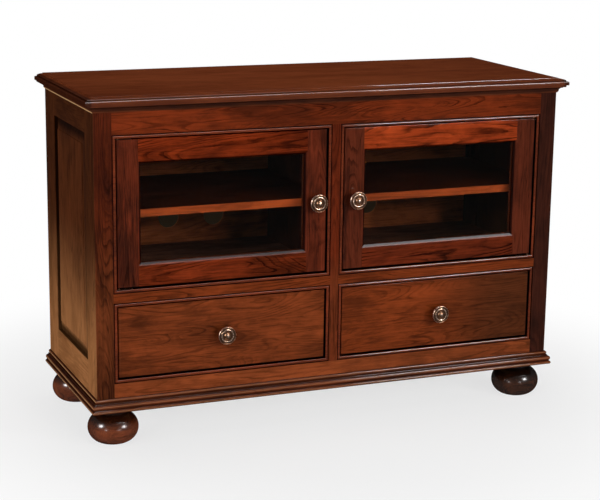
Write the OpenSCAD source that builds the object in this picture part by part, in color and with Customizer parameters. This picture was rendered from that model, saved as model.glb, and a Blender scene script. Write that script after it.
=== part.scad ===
// Two-door, two-drawer media console on bun feet, in frame-and-panel joinery.
// X runs across the front, +Y to the back and +Z up. The origin is on the floor, under the middle
// of the whole console. Right-hand pieces are drawn at +X, and their left-hand twins are mirrored.

/* [Case] */
// Width across the face frame
case_w = 1200; // [1000:10:1500]
// Depth from the front of the face frame to the back edges of the sides
case_d = 445; // [440:5:560]
// Thickness of the face frame
frame_t = 20; // [19:1:24]
// Thickness of the side frames
side_t = 22; // [20:1:24]
// Thickness of the shelves, the decks, the bottom and the partition
board_t = 18; // [16:1:20]
// Depth of the grooves that hold the tongues of the decks and the bottom
dado_d = 4; // [3:0.5:5]
// Thickness of the tongues of the decks and the bottom
dado_w = 10; // [8:1:12]
// Distance from the drawer openings down to the bottom board
bottom_drop = 17; // [10:1:20]
// Thickness of the plywood back
back_t = 6; // [4:1:8]
// Distance from the back edges of the sides to the plywood back
back_inset = 8; // [4:1:12]
// Depth of the rabbet that holds the plywood back
back_rabbet = 10; // [6:1:12]
// Thickness of the cleats that the top is fastened to
cleat_t = 20; // [16:1:25]
// Width of the cleats that the top is fastened to
cleat_w = 55; // [40:5:80]

/* [Top] */
// Thickness of the top board
top_t = 22; // [20:1:30]
// Overhang of the lip beyond the front and the sides
top_over = 23; // [16:1:30]
// Overhang at the back
top_back_over = 14; // [0:1:30]
// Flat land between the case and the start of the moulded edge
top_land = 3; // [1:1:8]
// Depth of the small step at the top of the moulded edge
top_step = 2; // [1:0.5:3]
// Drop of the rounded part of the moulded edge
top_round_h = 9.5; // [6:0.5:10]
// Height of the upright lip
top_lip_h = 5; // [3:0.5:6]
// Inward run of the bevel under the lip
top_bevel = 5; // [3:0.5:7]
// Height of the cove moulding under the top
cove_h = 14.5; // [13:0.5:24]
// Projection of the cove moulding
cove_out = 12; // [11:0.5:14]
// Radius of the hollow in the cove moulding
cove_r = 8; // [5:0.5:8]
// Height of the fillets above and below the hollow
cove_fillet = 2; // [1:0.25:2.5]
// Projection of the lowest fillet of the cove moulding
cove_foot = 2.5; // [1.5:0.25:3]

/* [Face frame] */
// Width of the outer stiles
stile_w = 43; // [38:1:60]
// Width of the centre stile
center_stile_w = 22; // [22:1:40]
// Height of the top rail
rail_top_h = 67; // [50:1:90]
// Height of the rails between the doors and the drawers
rail_mid_h = 22; // [20:1:40]
// Height of the bottom rail
rail_bottom_h = 68; // [60:1:90]
// Height of the door openings
door_open_h = 355; // [300:5:450]
// Height of the drawer openings
drawer_open_h = 177; // [170:1:220]
// Width of the beaded strip that lines each opening
strip_w = 9; // [9:0.5:12]
// Radius of the bead on the strip
bead_r = 3.5; // [2.5:0.25:3.5]
// How far the bead stands in front of the face frame
bead_proud = 1; // [0.5:0.25:1.5]
// Length of the tenons on the rails
tenon_len = 25; // [15:1:28]
// Thickness of the tenons
tenon_t = 7; // [6:0.5:8]
// Shoulder above and below each tenon
tenon_shoulder = 4; // [3:0.5:5]
// Wood left between the tenons of the middle rails in the centre stile
stub_web = 6; // [4:1:8]
// Length of the tenons on the centre stile
stub_len = 20; // [12:1:25]

/* [Side frames] */
// Width of the front stile of each side, behind the face frame
side_front_w = 55; // [50:1:80]
// Width of the rear stile of each side
side_rear_w = 85; // [60:1:100]
// Height of the top rail of each side
side_top_h = 70; // [60:1:100]
// Height of the bottom rail of each side
side_bottom_h = 110; // [90:1:130]
// Width of the panel groove and of the tongues that fill it
groove_w = 6; // [5:0.5:7]
// Depth of the panel groove
groove_d = 10; // [8:0.5:12]
// Set-back of the groove from the outer face
groove_in = 9.5; // [8:0.5:10]
// Length of the tongue from the front stile into the face frame
corner_tongue = 6; // [4:0.5:8]
// Room for the panel to swell in its groove
panel_room = 1; // [0.5:0.25:2]
// Width of the bevel round the raised field
panel_bevel = 30; // [20:1:45]
// Rise of the bevel
panel_rise = 7; // [4:0.25:7.5]
// Height of the square shoulder round the raised field
panel_shoulder = 1.5; // [1:0.25:2]

/* [Doors] */
// Gap round the doors and the drawer fronts
gap = 3; // [2:0.25:3.5]
// Set-back of the doors and the drawer fronts behind the face frame
leaf_in = 3; // [2:0.25:4]
// Thickness of the doors and the drawer fronts
door_t = 20; // [19:1:20]
// Width of the door stiles
door_stile_w = 57; // [50:1:75]
// Height of the door rails
door_rail_h = 57; // [50:1:75]
// Rounding of the outer front edges of the doors and the drawer fronts
ease_r = 1.5; // [1:0.25:2]
// Depth from the door's face to the tenons of its rails
door_tenon_in = 9; // [8:0.5:10]
// Length of the tenons of the door rails
door_tenon_len = 27; // [15:1:35]
// Width of the bevelled edge round the glass
stick_w = 6; // [4:0.5:8]
// Depth of the bevelled edge round the glass
stick_d = 5; // [3:0.5:6]
// Depth from the door's face to the glass
glass_in = 8; // [7:0.5:8]
// Thickness of the glass
glass_t = 4; // [3:0.5:4]
// Width of the rabbet that holds the glass
glass_rabbet = 8; // [6:0.5:10]
// Room round the glass in its rabbet
glass_room = 1; // [0.5:0.25:2]

/* [Drawers] */
// Height of the drawer boxes
box_h = 140; // [120:5:150]
// Room between the drawer boxes and the plywood back
box_room = 6; // [4:1:60]
// Thickness of the drawer sides and ends
box_t = 12; // [10:1:15]
// Distance from the bottom of the drawer front to the box
box_lift = 10; // [6:1:14]
// Thickness of the drawer bottoms
bottom_t = 6; // [4:1:6]
// Depth of the groove for the drawer bottom
bottom_groove = 6; // [4:0.5:6]
// Distance from the box's lower edge to the drawer bottom
bottom_lift = 10; // [8:1:14]
// Number of dovetails at each corner of a drawer box
tails = 4; // [3:1:5]
// Half the width of a dovetail at its narrow end
tail_half = 9; // [7:0.5:9]
// Spread of a dovetail on each side from its narrow end to its wide end
tail_spread = 2; // [1.5:0.25:3]

/* [Shelves] */
// Height of the shelves above the decks
shelf_lift = 164; // [100:1:220]
// Distance from the face frame to the front edge of the shelves
shelf_in = 10; // [6:1:40]
// Room between a shelf and what is beside it
shelf_room = 1; // [0.5:0.25:2]
// Radius of the shelf pins
pin_r = 2.5; // [2:0.25:3]
// Length of a shelf pin in its hole
pin_in = 7; // [5:0.5:7.5]
// Length of a shelf pin that the shelf rests on
pin_out = 9; // [7:0.5:12]
// Pitch of the rows of pin holes
pin_pitch = 32; // [20:1:40]
// Number of holes in a row above and below the one in use
pin_spare = 2; // [0:1:3]
// Distance from the face frame or the back to a row of pin holes
pin_set = 35; // [25:1:50]

/* [Cable holes] */
// Radius of the cable holes in the back
cable_r = 28; // [20:1:35]
// Height of the cable holes above the decks
cable_lift = 68; // [45:1:100]
// Distance between the two cable holes of a bay
cable_pitch = 124; // [90:1:160]

/* [Base and feet] */
// Height of the bun feet
foot_h = 88; // [75:1:110]
// Radius of the swelling of a foot
foot_r = 61; // [50:1:70]
// Radius of the round that forms the swelling
foot_round = 37; // [30:1:37]
// Depth of the flat that a foot stands on
foot_flat = 1.5; // [1:0.5:3]
// Radius of the neck under the case
foot_neck_r = 40; // [34:1:45]
// Height of the neck under the case
foot_neck_h = 9; // [6:1:12]
// Radius of the thin ring between the swelling and the neck
foot_ring_r = 37; // [32:1:40]
// Radius of the bead that forms the thin ring
foot_bead_r = 3; // [2:0.25:4]
// Distance from the case's faces to the axis of a foot
foot_in = 53; // [50:1:80]
// Height of the base moulding
base_h = 34; // [30:1:50]
// Projection of the base moulding at its foot
base_out = 14; // [12:0.5:20]
// Side of the square corner blocks
block_w = 90; // [85:1:120]
// Radius of the studs that hold the feet
stud_r = 4; // [3:0.5:6]
// Length of a stud in its foot
stud_in_foot = 35; // [20:1:45]
// Length of a stud in its corner block
stud_in_block = 30; // [20:1:35]

/* [Hinges and catches] */
// Distance from the door's edge to the hinge axis
hinge_x = 3.5; // [3.25:0.25:4]
// Distance from the door's face to the hinge axis
hinge_y = 4; // [3.75:0.25:4]
// Radius of the hinge pins
hinge_pin_r = 1.2; // [1:0.1:1.25]
// Length of the hinge leaves
leaf_len = 36; // [25:1:45]
// Distance from the end of a hinge leaf to the door's edge
leaf_set = 1; // [0.5:0.25:1.5]
// Distance from the hinge axis to the front edge of the door's leaves
leaf_margin = 2; // [1.75:0.25:2]
// Width of the collar round a hinge pin
hinge_collar = 0.8; // [0.6:0.1:1]
// Width of the hinge leaves
leaf_w = 10; // [9:0.5:12]
// Thickness of the hinge leaves
leaf_t = 2.5; // [2:0.25:3]
// Width of the magnetic catches
catch_w = 26; // [20:1:30]
// Depth of the magnetic catches
catch_d = 16; // [10:1:20]
// Height of the magnetic catches
catch_h = 22; // [16:1:30]
// Distance from the top of the opening to the catches
catch_drop = 15; // [10:1:40]
// Width of the strike plates
strike_w = 14; // [10:1:20]
// Height of the strike plates
strike_h = 20; // [12:1:26]
// Thickness of the strike plates
strike_t = 1.2; // [1:0.1:1.5]

/* [Drawer slides] */
// Distance from the drawer fronts to the front ends of the slides
slide_set = 2; // [1:1:8]
// Width of a drawer slide
slide_w = 12.7; // [12:0.1:14]
// Height of the outer member of a slide
slide_h = 45; // [40:1:46]
// Thickness of the steel in the slides
slide_gauge = 1.5; // [1:0.1:1.6]
// Height of the slides' middle line above the lower edge of the drawer box
slide_lift = 63; // [50:1:80]
// Distance from the lip of an outer member to the drawer box
slide_lip_gap = 3.7; // [3:0.1:5]
// Height of the wooden spacers behind the slides
spacer_h = 60; // [50:1:80]

/* [Knobs] */
// Radius of the knobs
knob_r = 22; // [16:0.5:24]
// Reach of the knobs in front of the doors and the drawers
knob_reach = 31; // [25:1:34]
// Radius of the knob screws
screw_r = 2; // [1.5:0.25:2.5]
// Length of a knob screw in the knob
screw_in_knob = 12; // [8:1:14]
// Radius of the screw heads
screw_head_r = 4.5; // [4:0.25:5.5]
// Height of the screw heads
screw_head_h = 2.5; // [2:0.25:3.5]

/* [Fits] */
// Running clearance between pieces that move past each other
run = 0.3; // [0.25:0.05:0.4]
// Radial clearance of the hinge pins
pin_fit = 0.05; // [0.03:0.01:0.08]
// Radial clearance of screws and studs
screw_fit = 0.15; // [0.1:0.05:0.3]
// Hairline between two mitred pieces
hairline = 0.1; // [0.05:0.05:0.2]

/* [Hidden] */

$fn = 96;
arc_steps = 8;
past = 1;

// Colours of the stained wood, the plain inner wood and the metals
stained = [0.36, 0.16, 0.09];
stained_dark = [0.28, 0.12, 0.07];
inner_wood = [0.62, 0.43, 0.27];
ply = [0.45, 0.26, 0.15];
bronze = [0.42, 0.34, 0.26];
steel = [0.7, 0.71, 0.72];
pane = [0.6, 0.66, 0.66, 0.35];

// Heights, stacked from the floor
case_z = foot_h;
drawer_open_z = case_z + rail_bottom_h + strip_w;
drawer_open_top = drawer_open_z + drawer_open_h;
mid_z = drawer_open_top + strip_w;
door_open_z = mid_z + rail_mid_h + strip_w;
door_open_top = door_open_z + door_open_h;
rail_top_z = door_open_top + strip_w;
top_z = rail_top_z + rail_top_h;
deck_z = door_open_z - board_t;
shelf_z = door_open_z + shelf_lift;
bottom_z = drawer_open_z - bottom_drop - board_t;
bottom_top = bottom_z + board_t;

// Places across the front, from the middle outwards
half_w = case_w / 2;
side_in = half_w - side_t;
frame_in = half_w - stile_w;
open_x0 = center_stile_w / 2 + strip_w;
open_x1 = frame_in - strip_w;
open_w = open_x1 - open_x0;
open_mid = (open_x0 + open_x1) / 2;
part_x = board_t / 2;

// Places from front to back, counted from the front of the face frame
back_y = case_d - back_inset - back_t;
panel_y0 = frame_t + side_front_w;
panel_y1 = case_d - side_rear_w;
leaf_back = leaf_in + door_t;
front_y = (max(knob_reach - leaf_in, top_over) - case_d - top_back_over) / 2;

// Doors and drawer fronts
leaf_x0 = open_x0 + gap;
leaf_x1 = open_x1 - gap;
leaf_span = leaf_x1 - leaf_x0;
door_z0 = door_open_z + gap;
door_z1 = door_open_top - gap;
door_h = door_z1 - door_z0;
front_z0 = drawer_open_z + gap;
front_z1 = drawer_open_top - gap;
front_h = front_z1 - front_z0;
glass_edge = glass_rabbet - glass_room;
hinge_axis_x = leaf_x1 - hinge_x;
knob_x = leaf_x0 + door_stile_w / 2;
knob_z = (door_z0 + door_z1) / 2;
strike_x = leaf_x0 + gap;
strike_z = door_open_top - catch_drop - catch_h / 2;

// Drawer boxes
box_x0 = open_x0 + slide_w;
box_x1 = open_x1 - slide_w;
box_y0 = leaf_back;
box_y1 = back_y - box_room;
box_z = front_z0 + box_lift;
slide_z = box_z + slide_lift;
slide_y0 = leaf_back + slide_set;
tail_pitch = box_h / tails;

// A point list along an arc from angle a0 to a1 about (cx, cy)
function arc(cx, cy, rx, ry, a0, a1, n = arc_steps) =
    [for (i = [0:n]) let (a = a0 + (a1 - a0) * i / n) [cx + rx * cos(a), cy + ry * sin(a)]];

// Moulded edge of the top: distance beyond the case against height, from the top down
top_edge = concat(
    [[top_land, top_z + top_t]],
    arc(top_land, top_z + top_t - top_step - top_round_h, top_over - top_land, top_round_h, 90, 0),
    [[top_over, top_z + top_t - top_step - top_round_h - top_lip_h], [top_over - top_bevel, top_z]]);

// Cove moulding under the top, with a fillet above and below its hollow
cove_mid = top_z - cove_fillet - cove_r;
cove_edge = concat(
    [[0, top_z], [cove_out, top_z]],
    arc(cove_out, cove_mid, cove_r, cove_r, 90, 180),
    [[cove_out - cove_r, cove_mid - cove_fillet], [cove_foot, cove_mid - cove_fillet],
        [cove_foot, top_z - cove_h], [0, top_z - cove_h]]);

// Base moulding, in shares of its projection and its height: a bead, a ledge with a hollow, the
// middle bead, a notch and the bead at the foot
base_shares = concat(
    [[0, 1]],
    arc(0.07, 0.87, 0.29, 0.13, 90, -60),
    [[0.215, 0.735], [0.45, 0.735]],
    arc(0.61, 0.7, 0.16, 0.07, 180, 270),
    arc(0.61, 0.47, 0.29, 0.16, 90, -55),
    [[0.735, 0.29]],
    arc(0.71, 0.125, 0.29, 0.125, 80, -90),
    [[0, 0]]);
base_edge = [for (p = base_shares) [p[0] * base_out, case_z + p[1] * base_h]];

// Turned outline of a knob, in shares of its radius and its reach: foot, stem, rim, groove, ring,
// groove and button
knob_shares = concat(
    [[0, 0], [0.4, 0], [0.4, 0.07]],
    arc(0.4, 0.32, 0.125, 0.25, -90, -270),
    arc(0.925, 0.75, 0.075, 0.1, -60, 90),
    [[0.85, 0.8], [0.8, 0.73]],
    arc(0.66, 0.785, 0.12, 0.08, 0, 180),
    [[0.48, 0.75]],
    arc(0, 0.75, 0.42, 0.25, 0, 90));
knob_profile = [for (p = knob_shares) [p[0] * knob_r, p[1] * knob_reach]];

// Moves a piece from face-frame coordinates to the console's own origin
module place() translate([0, front_y, 0]) children();

// Moves a piece of a door or a drawer front from its own face to its place behind the face frame
module set_in() translate([0, leaf_in, 0]) children();

// The piece as drawn at +X, and its twin at -X
module both() {
    children();
    mirror([1, 0, 0]) children();
}

// A box given by its lowest and highest corners
module block(low, high) translate(low) cube(high - low);

// An outline in (Y, Z) drawn out along X from x0 to x1
module along_x(x0, x1) translate([x0, 0, 0]) rotate([90, 0, 90]) linear_extrude(x1 - x0) children();

// An outline in (X, Z) drawn out along Y from y0 to y1
module along_y(y0, y1) translate([0, y1, 0]) rotate([90, 0, 0]) linear_extrude(y1 - y0) children();

// An outline in (X, Y) drawn out along Z from z0 to z1
module along_z(z0, z1) translate([0, 0, z0]) linear_extrude(z1 - z0) children();

// Room in front of the case that is cut off at 45 degrees at both front corners
module front_mitre(out, z0, z1) along_z(z0, z1)
    polygon([[-half_w + hairline, 0], [-half_w - out + hairline, -out], [half_w + out - hairline, -out],
        [half_w - hairline, 0]]);

// Room beside the case, cut off at 45 degrees at the front corner
module side_mitre(out, z0, z1) along_z(z0, z1)
    polygon([[half_w, 0], [half_w + out, -out], [half_w + out, case_d], [half_w, case_d]]);

// A moulding in three mitred lengths round the front and both sides of the case
module mitred_moulding(edge, out, z0, z1) {
    intersection() {
        along_x(-half_w - out, half_w + out) polygon([for (p = edge) [-p[0], p[1]]]);
        front_mitre(out, z0, z1);
    }
    both() intersection() {
        along_y(-out, case_d) polygon([for (p = edge) [half_w + p[0], p[1]]]);
        side_mitre(out, z0, z1);
    }
}

module top_panel() color(stained) place() intersection() {
    along_x(-half_w - top_over, half_w + top_over) polygon(concat(
        [[case_d + top_back_over, top_z], [case_d + top_back_over, top_z + top_t]],
        [for (p = top_edge) [-p[0], p[1]]]));
    along_y(-top_over, case_d + top_back_over) polygon(concat(
        [for (p = top_edge) [half_w + p[0], p[1]]],
        [for (i = [len(top_edge) - 1:-1:0]) [-half_w - top_edge[i][0], top_edge[i][1]]]));
}

module cove_moulding() color(stained) place()
    mitred_moulding(cove_edge, cove_out, top_z - cove_h, top_z);

module base_moulding() color(stained) place()
    mitred_moulding(base_edge, base_out, case_z, case_z + base_h);

// A tenon, or the mortise that it fills, between two heights in the thickness of the face frame
module frame_tenon(x0, x1, z0, z1)
    block([x0, (frame_t - tenon_t) / 2, z0], [x1, (frame_t + tenon_t) / 2, z1]);

module rail_tenons(z0, z1, x) frame_tenon(x, x + tenon_len, z0 + tenon_shoulder, z1 - tenon_shoulder);

module outer_stile() difference() {
    block([frame_in, 0, case_z], [half_w, frame_t, top_z]);
    rail_tenons(case_z, case_z + rail_bottom_h, frame_in);
    rail_tenons(mid_z, mid_z + rail_mid_h, frame_in);
    rail_tenons(rail_top_z, top_z, frame_in);
    block([half_w - groove_in - groove_w, frame_t - corner_tongue, case_z],
        [half_w - groove_in, frame_t, top_z]);
}

module frame_stile_left() color(stained) place() mirror([1, 0, 0]) outer_stile();

module frame_stile_right() color(stained) place() outer_stile();

// Tenons at the ends of the centre stile, in the top and bottom rails
module center_tenons() {
    x = center_stile_w / 2 - tenon_shoulder;
    frame_tenon(-x, x, rail_top_z, rail_top_z + stub_len);
    frame_tenon(-x, x, case_z + rail_bottom_h - stub_len, case_z + rail_bottom_h);
}

// Short tenons of the middle rails in the centre stile
mid_stub = (center_stile_w - stub_web) / 2;
module mid_stub_tenon()
    frame_tenon(center_stile_w / 2 - mid_stub, center_stile_w / 2,
        mid_z + tenon_shoulder, mid_z + rail_mid_h - tenon_shoulder);

module frame_stile_center() color(stained) place() difference() {
    union() {
        block([-center_stile_w / 2, 0, case_z + rail_bottom_h], [center_stile_w / 2, frame_t, rail_top_z]);
        center_tenons();
    }
    both() mid_stub_tenon();
}

// A rail that runs the whole width, with a mortise for the centre stile
module long_rail(z0, z1) difference() {
    union() {
        block([-frame_in, 0, z0], [frame_in, frame_t, z1]);
        both() rail_tenons(z0, z1, frame_in);
    }
    center_tenons();
}

module frame_rail_top() color(stained) place() long_rail(rail_top_z, top_z);

module frame_rail_bottom() color(stained) place() long_rail(case_z, case_z + rail_bottom_h);

module frame_rails_middle() color(stained) place() both() {
    block([center_stile_w / 2, 0, mid_z], [frame_in, frame_t, mid_z + rail_mid_h]);
    rail_tenons(mid_z, mid_z + rail_mid_h, frame_in);
    mid_stub_tenon();
}

// Strip from Y = y0 to y1 that is mitred at both ends, with its short edge at Z = 0
module mitred_strip(length, w, y0, y1) {
    half = (length - hairline) / 2;
    along_y(y0, y1) polygon([[-half, 0], [-half - w, w], [half + w, w], [half, 0]]);
}

// A level strip above and below an opening, and an upright one on each side
module around(x0, x1, z0, z1) {
    translate([(x0 + x1) / 2, 0, z1]) children(0);
    translate([(x0 + x1) / 2, 0, z0]) rotate([0, 180, 0]) children(0);
    translate([x1, 0, (z0 + z1) / 2]) rotate([0, 90, 0]) children(1);
    translate([x0, 0, (z0 + z1) / 2]) rotate([0, -90, 0]) children(1);
}

// Beaded strip over a length of opening
bead_y = bead_r - bead_proud;
module bead_strip(length) intersection() {
    along_x(-length / 2 - strip_w, length / 2 + strip_w) polygon(concat(
        [[frame_t, 0]],
        arc(bead_y, bead_r, bead_r, bead_r, 270, 90),
        [[bead_y, strip_w], [frame_t, strip_w]]));
    mitred_strip(length, strip_w, -bead_proud, frame_t);
}

module bead_frame(z0, z1) around(open_x0, open_x1, z0, z1) {
    bead_strip(open_w);
    bead_strip(z1 - z0);
}

module opening_beads() color(stained) place() both() {
    difference() {
        bead_frame(door_open_z, door_open_top);
        frame_leaf_plates();
    }
    bead_frame(drawer_open_z, drawer_open_top);
}

// Room that the tongues of the decks and the bottom take in the sides and the partition
module board_dados() {
    for (z = [deck_z, bottom_z])
        block([part_x - dado_d, frame_t, z], [side_in + dado_d, back_y, z + dado_w]);
}

// Rows of shelf pin holes in the right-hand bay, or the pins in use
shelf_pin_z = shelf_z - pin_r;
module pin_rows(steps, r, out) {
    for (y = [frame_t + pin_set, back_y - pin_set], k = steps) {
        translate([side_in - out, y, shelf_pin_z + k * pin_pitch]) rotate([0, 90, 0])
            cylinder(h = pin_in + out, r = r);
        translate([part_x - pin_in, y, shelf_pin_z + k * pin_pitch]) rotate([0, 90, 0])
            cylinder(h = pin_in + out, r = r);
    }
}

module shelf_pins() color(steel) place() both() pin_rows([0], pin_r, pin_out);

// Tongues of the side rails, which also fill the ends of the panel grooves
module side_groove(y0, y1, z0, z1)
    block([half_w - groove_in - groove_w, y0, z0], [half_w - groove_in, y1, z1]);

side_lo = case_z + side_bottom_h;
side_hi = top_z - side_top_h;

module side_stiles() color(stained) place() both() difference() {
    union() {
        block([side_in, frame_t, case_z], [half_w, panel_y0, top_z]);
        side_groove(frame_t - corner_tongue, frame_t, case_z, top_z);
        block([side_in, panel_y1, case_z], [half_w, case_d, top_z]);
    }
    side_groove(panel_y0 - groove_d, panel_y0, case_z, top_z);
    side_groove(panel_y1, panel_y1 + groove_d, case_z, top_z);
    block([side_in, back_y, case_z], [side_in + back_rabbet, case_d, top_z]);
    board_dados();
    pin_rows([-pin_spare:pin_spare], pin_r, 0);
}

module side_rails() color(stained) place() both() difference() {
    for (z = [[case_z, side_lo], [side_hi, top_z]]) {
        block([side_in, panel_y0, z[0]], [half_w, panel_y1, z[1]]);
        side_groove(panel_y0 - groove_d, panel_y1 + groove_d, z[0], z[1]);
    }
    side_groove(panel_y0 - groove_d, panel_y1 + groove_d, side_lo - groove_d, side_hi + groove_d);
    board_dados();
}

// Section across a raised panel of a given width: a tongue at each edge, bevels and a raised field
panel_t = groove_w + panel_rise + panel_shoulder;
panel_tongue = groove_d - panel_room;
function panel_half(w) = [[w / 2, 0], [w / 2, groove_w], [w / 2 - panel_tongue, groove_w],
    [w / 2 - panel_tongue - panel_bevel, groove_w + panel_rise],
    [w / 2 - panel_tongue - panel_bevel, panel_t]];
function panel_section(w) = concat(panel_half(w),
    [for (i = [len(panel_half(w)) - 1:-1:0]) [-panel_half(w)[i][0], panel_half(w)[i][1]]]);

module side_panels() color(stained) place() both() {
    w = panel_y1 - panel_y0 + 2 * panel_tongue;
    h = side_hi - side_lo + 2 * panel_tongue;
    translate([half_w - groove_in - groove_w, (panel_y0 + panel_y1) / 2, (side_lo + side_hi) / 2])
        intersection() {
            along_z(-h / 2, h / 2) polygon([for (p = panel_section(w)) [p[1], p[0]]]);
            along_y(-w / 2, w / 2) polygon([for (p = panel_section(h)) [p[1], p[0]]]);
        }
}

module back_panel() color(ply) place() difference() {
    block([-side_in - back_rabbet, back_y, case_z], [side_in + back_rabbet, back_y + back_t, top_z]);
    both() for (x = [open_mid, open_mid - cable_pitch])
        translate([x, back_y - past, door_open_z + cable_lift]) rotate([-90, 0, 0])
            cylinder(h = back_t + 2 * past, r = cable_r);
}

module center_partition() color(ply) place() difference() {
    block([-part_x, frame_t, bottom_top], [part_x, back_y, top_z]);
    both() board_dados();
    both() pin_rows([-pin_spare:pin_spare], pin_r, 0);
}

// A level board with a tongue at each end, below its upper face
module housed_board(x0, x1, z) {
    block([x0, frame_t, z], [x1, back_y, z + board_t]);
    block([x0 - dado_d, frame_t, z], [x1 + dado_d, back_y, z + dado_w]);
}

module bottom_panel() color(ply) place() housed_board(-side_in, side_in, bottom_z);

module deck_panels() color(ply) place() both() housed_board(part_x, side_in, deck_z);

module top_cleats() color(inner_wood) place() both()
    for (y = [frame_t, back_y - cleat_w])
        block([part_x, y, top_z - cleat_t], [side_in, y + cleat_w, top_z]);

module shelf() block([part_x + shelf_room, frame_t + shelf_in, shelf_z],
    [side_in - shelf_room, back_y - shelf_room, shelf_z + board_t]);

module shelf_left() color(stained_dark) place() mirror([1, 0, 0]) shelf();

module shelf_right() color(stained_dark) place() shelf();

// Places of the four feet
module at_feet() both() for (y = [foot_in, case_d - foot_in]) translate([half_w - foot_in, y, 0]) children();

module corner_blocks() color(inner_wood) place() difference() {
    both() for (y = [frame_t, back_y - block_w])
        block([side_in - block_w, y, case_z], [side_in, y + block_w, bottom_z]);
    at_feet() translate([0, 0, case_z]) cylinder(h = stud_in_block + screw_fit, r = stud_r + screw_fit);
}

// Turned outline of a foot: the swelling with its flat, then the thin ring and the neck
foot_waist_r = foot_ring_r - foot_bead_r - past;
foot_mid_r = foot_r - foot_round;
foot_bead_z = foot_h - foot_neck_h - foot_bead_r;
foot_profile = concat(
    [[0, 0]],
    arc(foot_mid_r, foot_round - foot_flat, foot_round, foot_round,
        -asin((foot_round - foot_flat) / foot_round), acos((foot_waist_r - foot_mid_r) / foot_round), 24),
    [[foot_waist_r, foot_bead_z - foot_bead_r]],
    arc(foot_waist_r + past, foot_bead_z, foot_bead_r, foot_bead_r, -90, 90),
    [[foot_neck_r, foot_h - foot_neck_h], [foot_neck_r, foot_h], [0, foot_h]]);

module bun_foot() difference() {
    rotate_extrude() polygon(foot_profile);
    translate([0, 0, foot_h - stud_in_foot - screw_fit])
        cylinder(h = stud_in_foot + screw_fit + past, r = stud_r + screw_fit);
}

module bun_feet() color(stained) place() at_feet() bun_foot();

module foot_studs() color(steel) place() at_feet()
    translate([0, 0, foot_h - stud_in_foot]) cylinder(h = stud_in_foot + stud_in_block, r = stud_r);

// A block with its four front edges rounded, such as a drawer front or the outline of a door
module eased_block(low, high) intersection() {
    along_z(low[2], high[2]) polygon(concat([[high[0], high[1]], [low[0], high[1]]],
        arc(low[0] + ease_r, low[1] + ease_r, ease_r, ease_r, 180, 270),
        arc(high[0] - ease_r, low[1] + ease_r, ease_r, ease_r, 270, 360)));
    along_x(low[0], high[0]) polygon(concat([[high[1], high[2]], [high[1], low[2]]],
        arc(low[1] + ease_r, low[2] + ease_r, ease_r, ease_r, 270, 180),
        arc(low[1] + ease_r, high[2] - ease_r, ease_r, ease_r, 180, 90)));
}

module door_outline() eased_block([leaf_x0, 0, door_z0], [leaf_x1, door_t, door_z1]);

// Section of a door stile or rail of width w, from its outer edge to the glass, with the depth in Y
function frame_section(w) = [[0, 0], [w - stick_w, 0], [w, stick_d], [w, glass_in],
    [w - glass_rabbet, glass_in], [w - glass_rabbet, door_t], [0, door_t]];

// The two stiles as bare lengths, before mortises, hinge leaves and holes are cut
module bare_stiles() {
    along_z(door_z0, door_z1) polygon([for (p = frame_section(door_stile_w)) [leaf_x0 + p[0], p[1]]]);
    along_z(door_z0, door_z1) polygon([for (p = frame_section(door_stile_w)) [leaf_x1 - p[0], p[1]]]);
}

// Tenons of the door rails, behind the bevelled edge
module door_tenons() {
    near = door_stile_w - glass_rabbet;
    low = 2 * tenon_shoulder;
    high = door_rail_h - glass_rabbet - tenon_shoulder;
    for (z = [[door_z0 + low, door_z0 + high], [door_z1 - high, door_z1 - low]]) {
        block([leaf_x0 + near - door_tenon_len, door_tenon_in, z[0]],
            [leaf_x0 + near, door_tenon_in + tenon_t, z[1]]);
        block([leaf_x1 - near, door_tenon_in, z[0]],
            [leaf_x1 - near + door_tenon_len, door_tenon_in + tenon_t, z[1]]);
    }
}

// Hinge leaves let into the top and bottom edges of the door
module hinge_plate(z, y) block([leaf_x1 - leaf_set - leaf_len, y, z],
    [leaf_x1 - leaf_set, y + leaf_w, z + leaf_t]);

door_leaf_y = hinge_y - leaf_margin;
hinge_pin_y = leaf_in + hinge_y;
frame_leaf_y = bead_y + hairline;
module door_leaf_plates() for (z = [door_z0, door_z1 - leaf_t]) hinge_plate(z, door_leaf_y);

module frame_leaf_plates() for (z = [door_open_z - leaf_t, door_open_top]) hinge_plate(z, frame_leaf_y);

module knob_hole(x, y1, z) translate([x, -past, z]) rotate([-90, 0, 0])
    cylinder(h = y1 + 2 * past, r = screw_r + screw_fit);

module door_stiles() difference() {
    intersection() {
        bare_stiles();
        door_outline();
    }
    door_tenons();
    door_leaf_plates();
    strike_plate();
    knob_hole(knob_x, door_t, knob_z);
}

// Rails coped over the stiles' bevel, with tenons in the stiles
module door_rails() intersection() {
    difference() {
        along_x(leaf_x0 + door_stile_w - glass_rabbet, leaf_x1 - door_stile_w + glass_rabbet) {
            polygon([for (p = frame_section(door_rail_h)) [p[1], door_z0 + p[0]]]);
            polygon([for (p = frame_section(door_rail_h)) [p[1], door_z1 - p[0]]]);
        }
        bare_stiles();
    }
    door_outline();
}

module door_rails_with_tenons() {
    door_rails();
    door_tenons();
}

module door_glass() block(
    [leaf_x0 + door_stile_w - glass_edge, glass_in, door_z0 + door_rail_h - glass_edge],
    [leaf_x1 - door_stile_w + glass_edge, glass_in + glass_t, door_z1 - door_rail_h + glass_edge]);

// Four mitred strips behind the glass
module door_glass_stops()
    around(leaf_x0 + door_stile_w, leaf_x1 - door_stile_w, door_z0 + door_rail_h, door_z1 - door_rail_h) {
        mitred_strip(leaf_span - 2 * door_stile_w, glass_rabbet, glass_in + glass_t, door_t);
        mitred_strip(door_h - 2 * door_rail_h, glass_rabbet, glass_in + glass_t, door_t);
    }

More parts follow.
